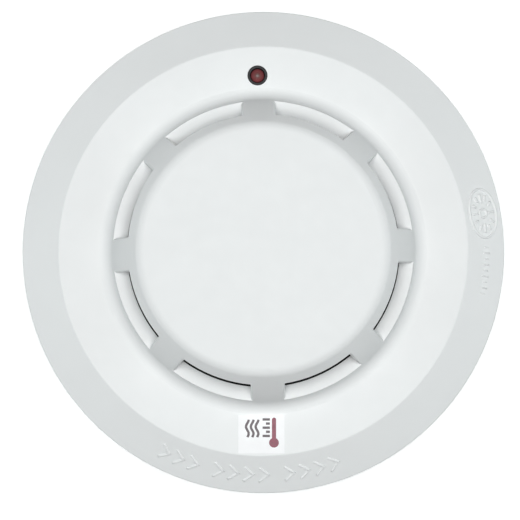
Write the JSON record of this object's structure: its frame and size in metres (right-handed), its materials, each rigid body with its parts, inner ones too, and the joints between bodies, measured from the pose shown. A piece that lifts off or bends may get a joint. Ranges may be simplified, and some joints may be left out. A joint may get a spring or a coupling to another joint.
{
  "type": "heat detector",
  "caption": "Round ceiling heat detector: vented cage over a central thermistor, on a twist-lock base with screw terminals and a wiring entry.",
  "frame": {"origin": "centre of the base's mounting face", "axes": "+Z out of the sensing face, away from the surface it is screwed to; +Y towards the indicator"},
  "size_m": [0.1, 0.1, 0.0446],
  "materials": {
    "cover_plastic": "satin moulded plastic, cool white",
    "base_plastic": "satin moulded plastic, cool white",
    "housing_plastic": "satin moulded plastic, cool white",
    "black_plastic": "matt black moulded plastic",
    "spring_metal": "tin-plated phosphor bronze strip",
    "plated_steel": "zinc-plated steel",
    "brass": "turned brass",
    "rubber": "moulded rubber",
    "board_laminate": "green solder mask on glass laminate",
    "chip_black": "moulded package",
    "chip_ceramic": "fired ceramic",
    "crystal_metal": "drawn metal can",
    "can_sleeve": "shrunk sleeve",
    "bead_glass": "glass-coated bead",
    "led_lens": "tinted clear resin",
    "label_film": "printed white film"
  },
  "bodies": {
    "base": {"base_housing": "base_plastic", "base_contact_1": "spring_metal", "base_contact_2": "spring_metal", "base_contact_3": "spring_metal", "base_contact_4": "spring_metal"},
    "head": {"front_cover": "cover_plastic", "rear_housing": "housing_plastic", "seal_ring": "rubber", "cover_screws": "plated_steel", "contact_pillars": "brass", "front_label": "label_film", "circuit_board": "board_laminate", "board_screws": "plated_steel", "sensor_shroud": "black_plastic", "thermistor_post": "black_plastic", "sensing_thermistor": "bead_glass", "reference_thermistor": "bead_glass", "indicator_led": "led_lens", "led_spacer": "black_plastic", "microcontroller": "chip_black", "crystal": "crystal_metal", "electrolytic_capacitors": "can_sleeve", "chip_resistors": "chip_black", "chip_capacitors": "chip_ceramic", "bridge_diodes": "chip_black", "contact_blade_1": "spring_metal", "contact_blade_2": "spring_metal", "contact_blade_3": "spring_metal", "contact_blade_4": "spring_metal"},
    "clamp_1": {"clamp_washer_1": "plated_steel"},
    "clamp_2": {"clamp_washer_2": "plated_steel"},
    "clamp_3": {"clamp_washer_3": "plated_steel"},
    "clamp_4": {"clamp_washer_4": "plated_steel"},
    "screw_1": {"terminal_screw_1": "plated_steel"},
    "screw_2": {"terminal_screw_2": "plated_steel"},
    "screw_3": {"terminal_screw_3": "plated_steel"},
    "screw_4": {"terminal_screw_4": "plated_steel"}
  },
  "joints": [
    {"name": "head_twist", "type": "hinge", "parent": "base", "child": "head", "pos_m": [0, 0, 0.0146], "axis": [0, 0, 1], "range_deg": [0, 20]},
    {"name": "clamp_lift_1", "type": "slide", "parent": "base", "child": "clamp_1", "axis": [0, 0, 1], "range_m": [0, 0.0018]},
    {"name": "screw_turn_1", "type": "hinge", "parent": "clamp_1", "child": "screw_1", "pos_m": [0.02227, 0.02227, 0.0063], "axis": [0, 0, 1], "range_deg": [0, 1081]},
    {"name": "clamp_lift_2", "type": "slide", "parent": "base", "child": "clamp_2", "axis": [0, 0, 1], "range_m": [0, 0.0018]},
    {"name": "screw_turn_2", "type": "hinge", "parent": "clamp_2", "child": "screw_2", "pos_m": [-0.02227, 0.02227, 0.0063], "axis": [0, 0, 1], "range_deg": [0, 1081]},
    {"name": "clamp_lift_3", "type": "slide", "parent": "base", "child": "clamp_3", "axis": [0, 0, 1], "range_m": [0, 0.0018]},
    {"name": "screw_turn_3", "type": "hinge", "parent": "clamp_3", "child": "screw_3", "pos_m": [-0.02227, -0.02227, 0.0063], "axis": [0, 0, 1], "range_deg": [0, 1081]},
    {"name": "clamp_lift_4", "type": "slide", "parent": "base", "child": "clamp_4", "axis": [0, 0, 1], "range_m": [0, 0.0018]},
    {"name": "screw_turn_4", "type": "hinge", "parent": "clamp_4", "child": "screw_4", "pos_m": [0.02227, -0.02227, 0.0063], "axis": [0, 0, 1], "range_deg": [0, 1081]}
  ],
  "couplings": [
    {"joint": "screw_turn_1", "follows": "clamp_lift_1", "rad_per_m": 10472},
    {"joint": "screw_turn_2", "follows": "clamp_lift_2", "rad_per_m": 10472},
    {"joint": "screw_turn_3", "follows": "clamp_lift_3", "rad_per_m": 10472},
    {"joint": "screw_turn_4", "follows": "clamp_lift_4", "rad_per_m": 10472}
  ]
}
